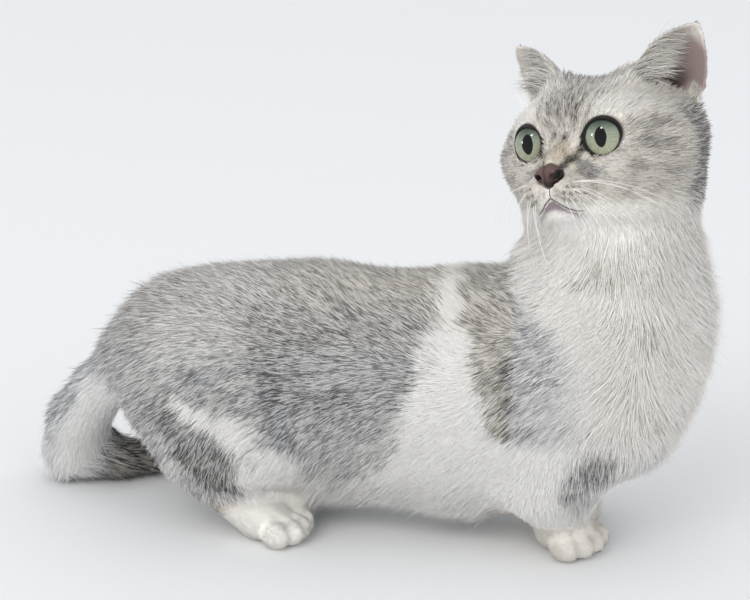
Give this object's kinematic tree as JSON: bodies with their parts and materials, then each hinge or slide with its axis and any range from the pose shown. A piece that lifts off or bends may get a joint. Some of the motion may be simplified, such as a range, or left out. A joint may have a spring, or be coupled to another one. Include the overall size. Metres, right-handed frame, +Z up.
{
  "type": "munchkin cat figure",
  "caption": "Short-legged munchkin cat at life size, standing in profile and looking back over its right shoulder, silver tabby and white.",
  "frame": {"origin": "middle of the cat's footprint, on the floor", "axes": "+X forward along the body, +Y to the cat's left, +Z up"},
  "size_m": [0.4008, 0.1396, 0.3007],
  "materials": {
    "coat_grey": "short silver-grey ticked fur",
    "coat_white": "short white fur",
    "coat_dark": "short dark grey-brown fur",
    "ear_skin": "thinly furred pink-grey skin",
    "nose_leather": "moist dusky leather",
    "eye": "wet and glossy"
  },
  "bodies": {
    "root": {"barrel": "coat_grey", "chest": "coat_white", "neck": "coat_white", "hindquarters": "coat_grey", "head": "coat_grey", "nose": "nose_leather", "ear_left": "ear_skin", "ear_right": "ear_skin", "eye_left": "eye", "eye_right": "eye", "fore_leg_left": "coat_grey", "fore_leg_right": "coat_grey", "fore_paw_left": "coat_white", "fore_paw_right": "coat_white", "hind_leg_left": "coat_grey", "hind_leg_right": "coat_grey", "hind_paw_left": "coat_white", "hind_paw_right": "coat_white", "tail_base": "coat_grey", "tail_bend": "coat_grey", "tail_tip": "coat_dark"}
  },
  "joints": []
}
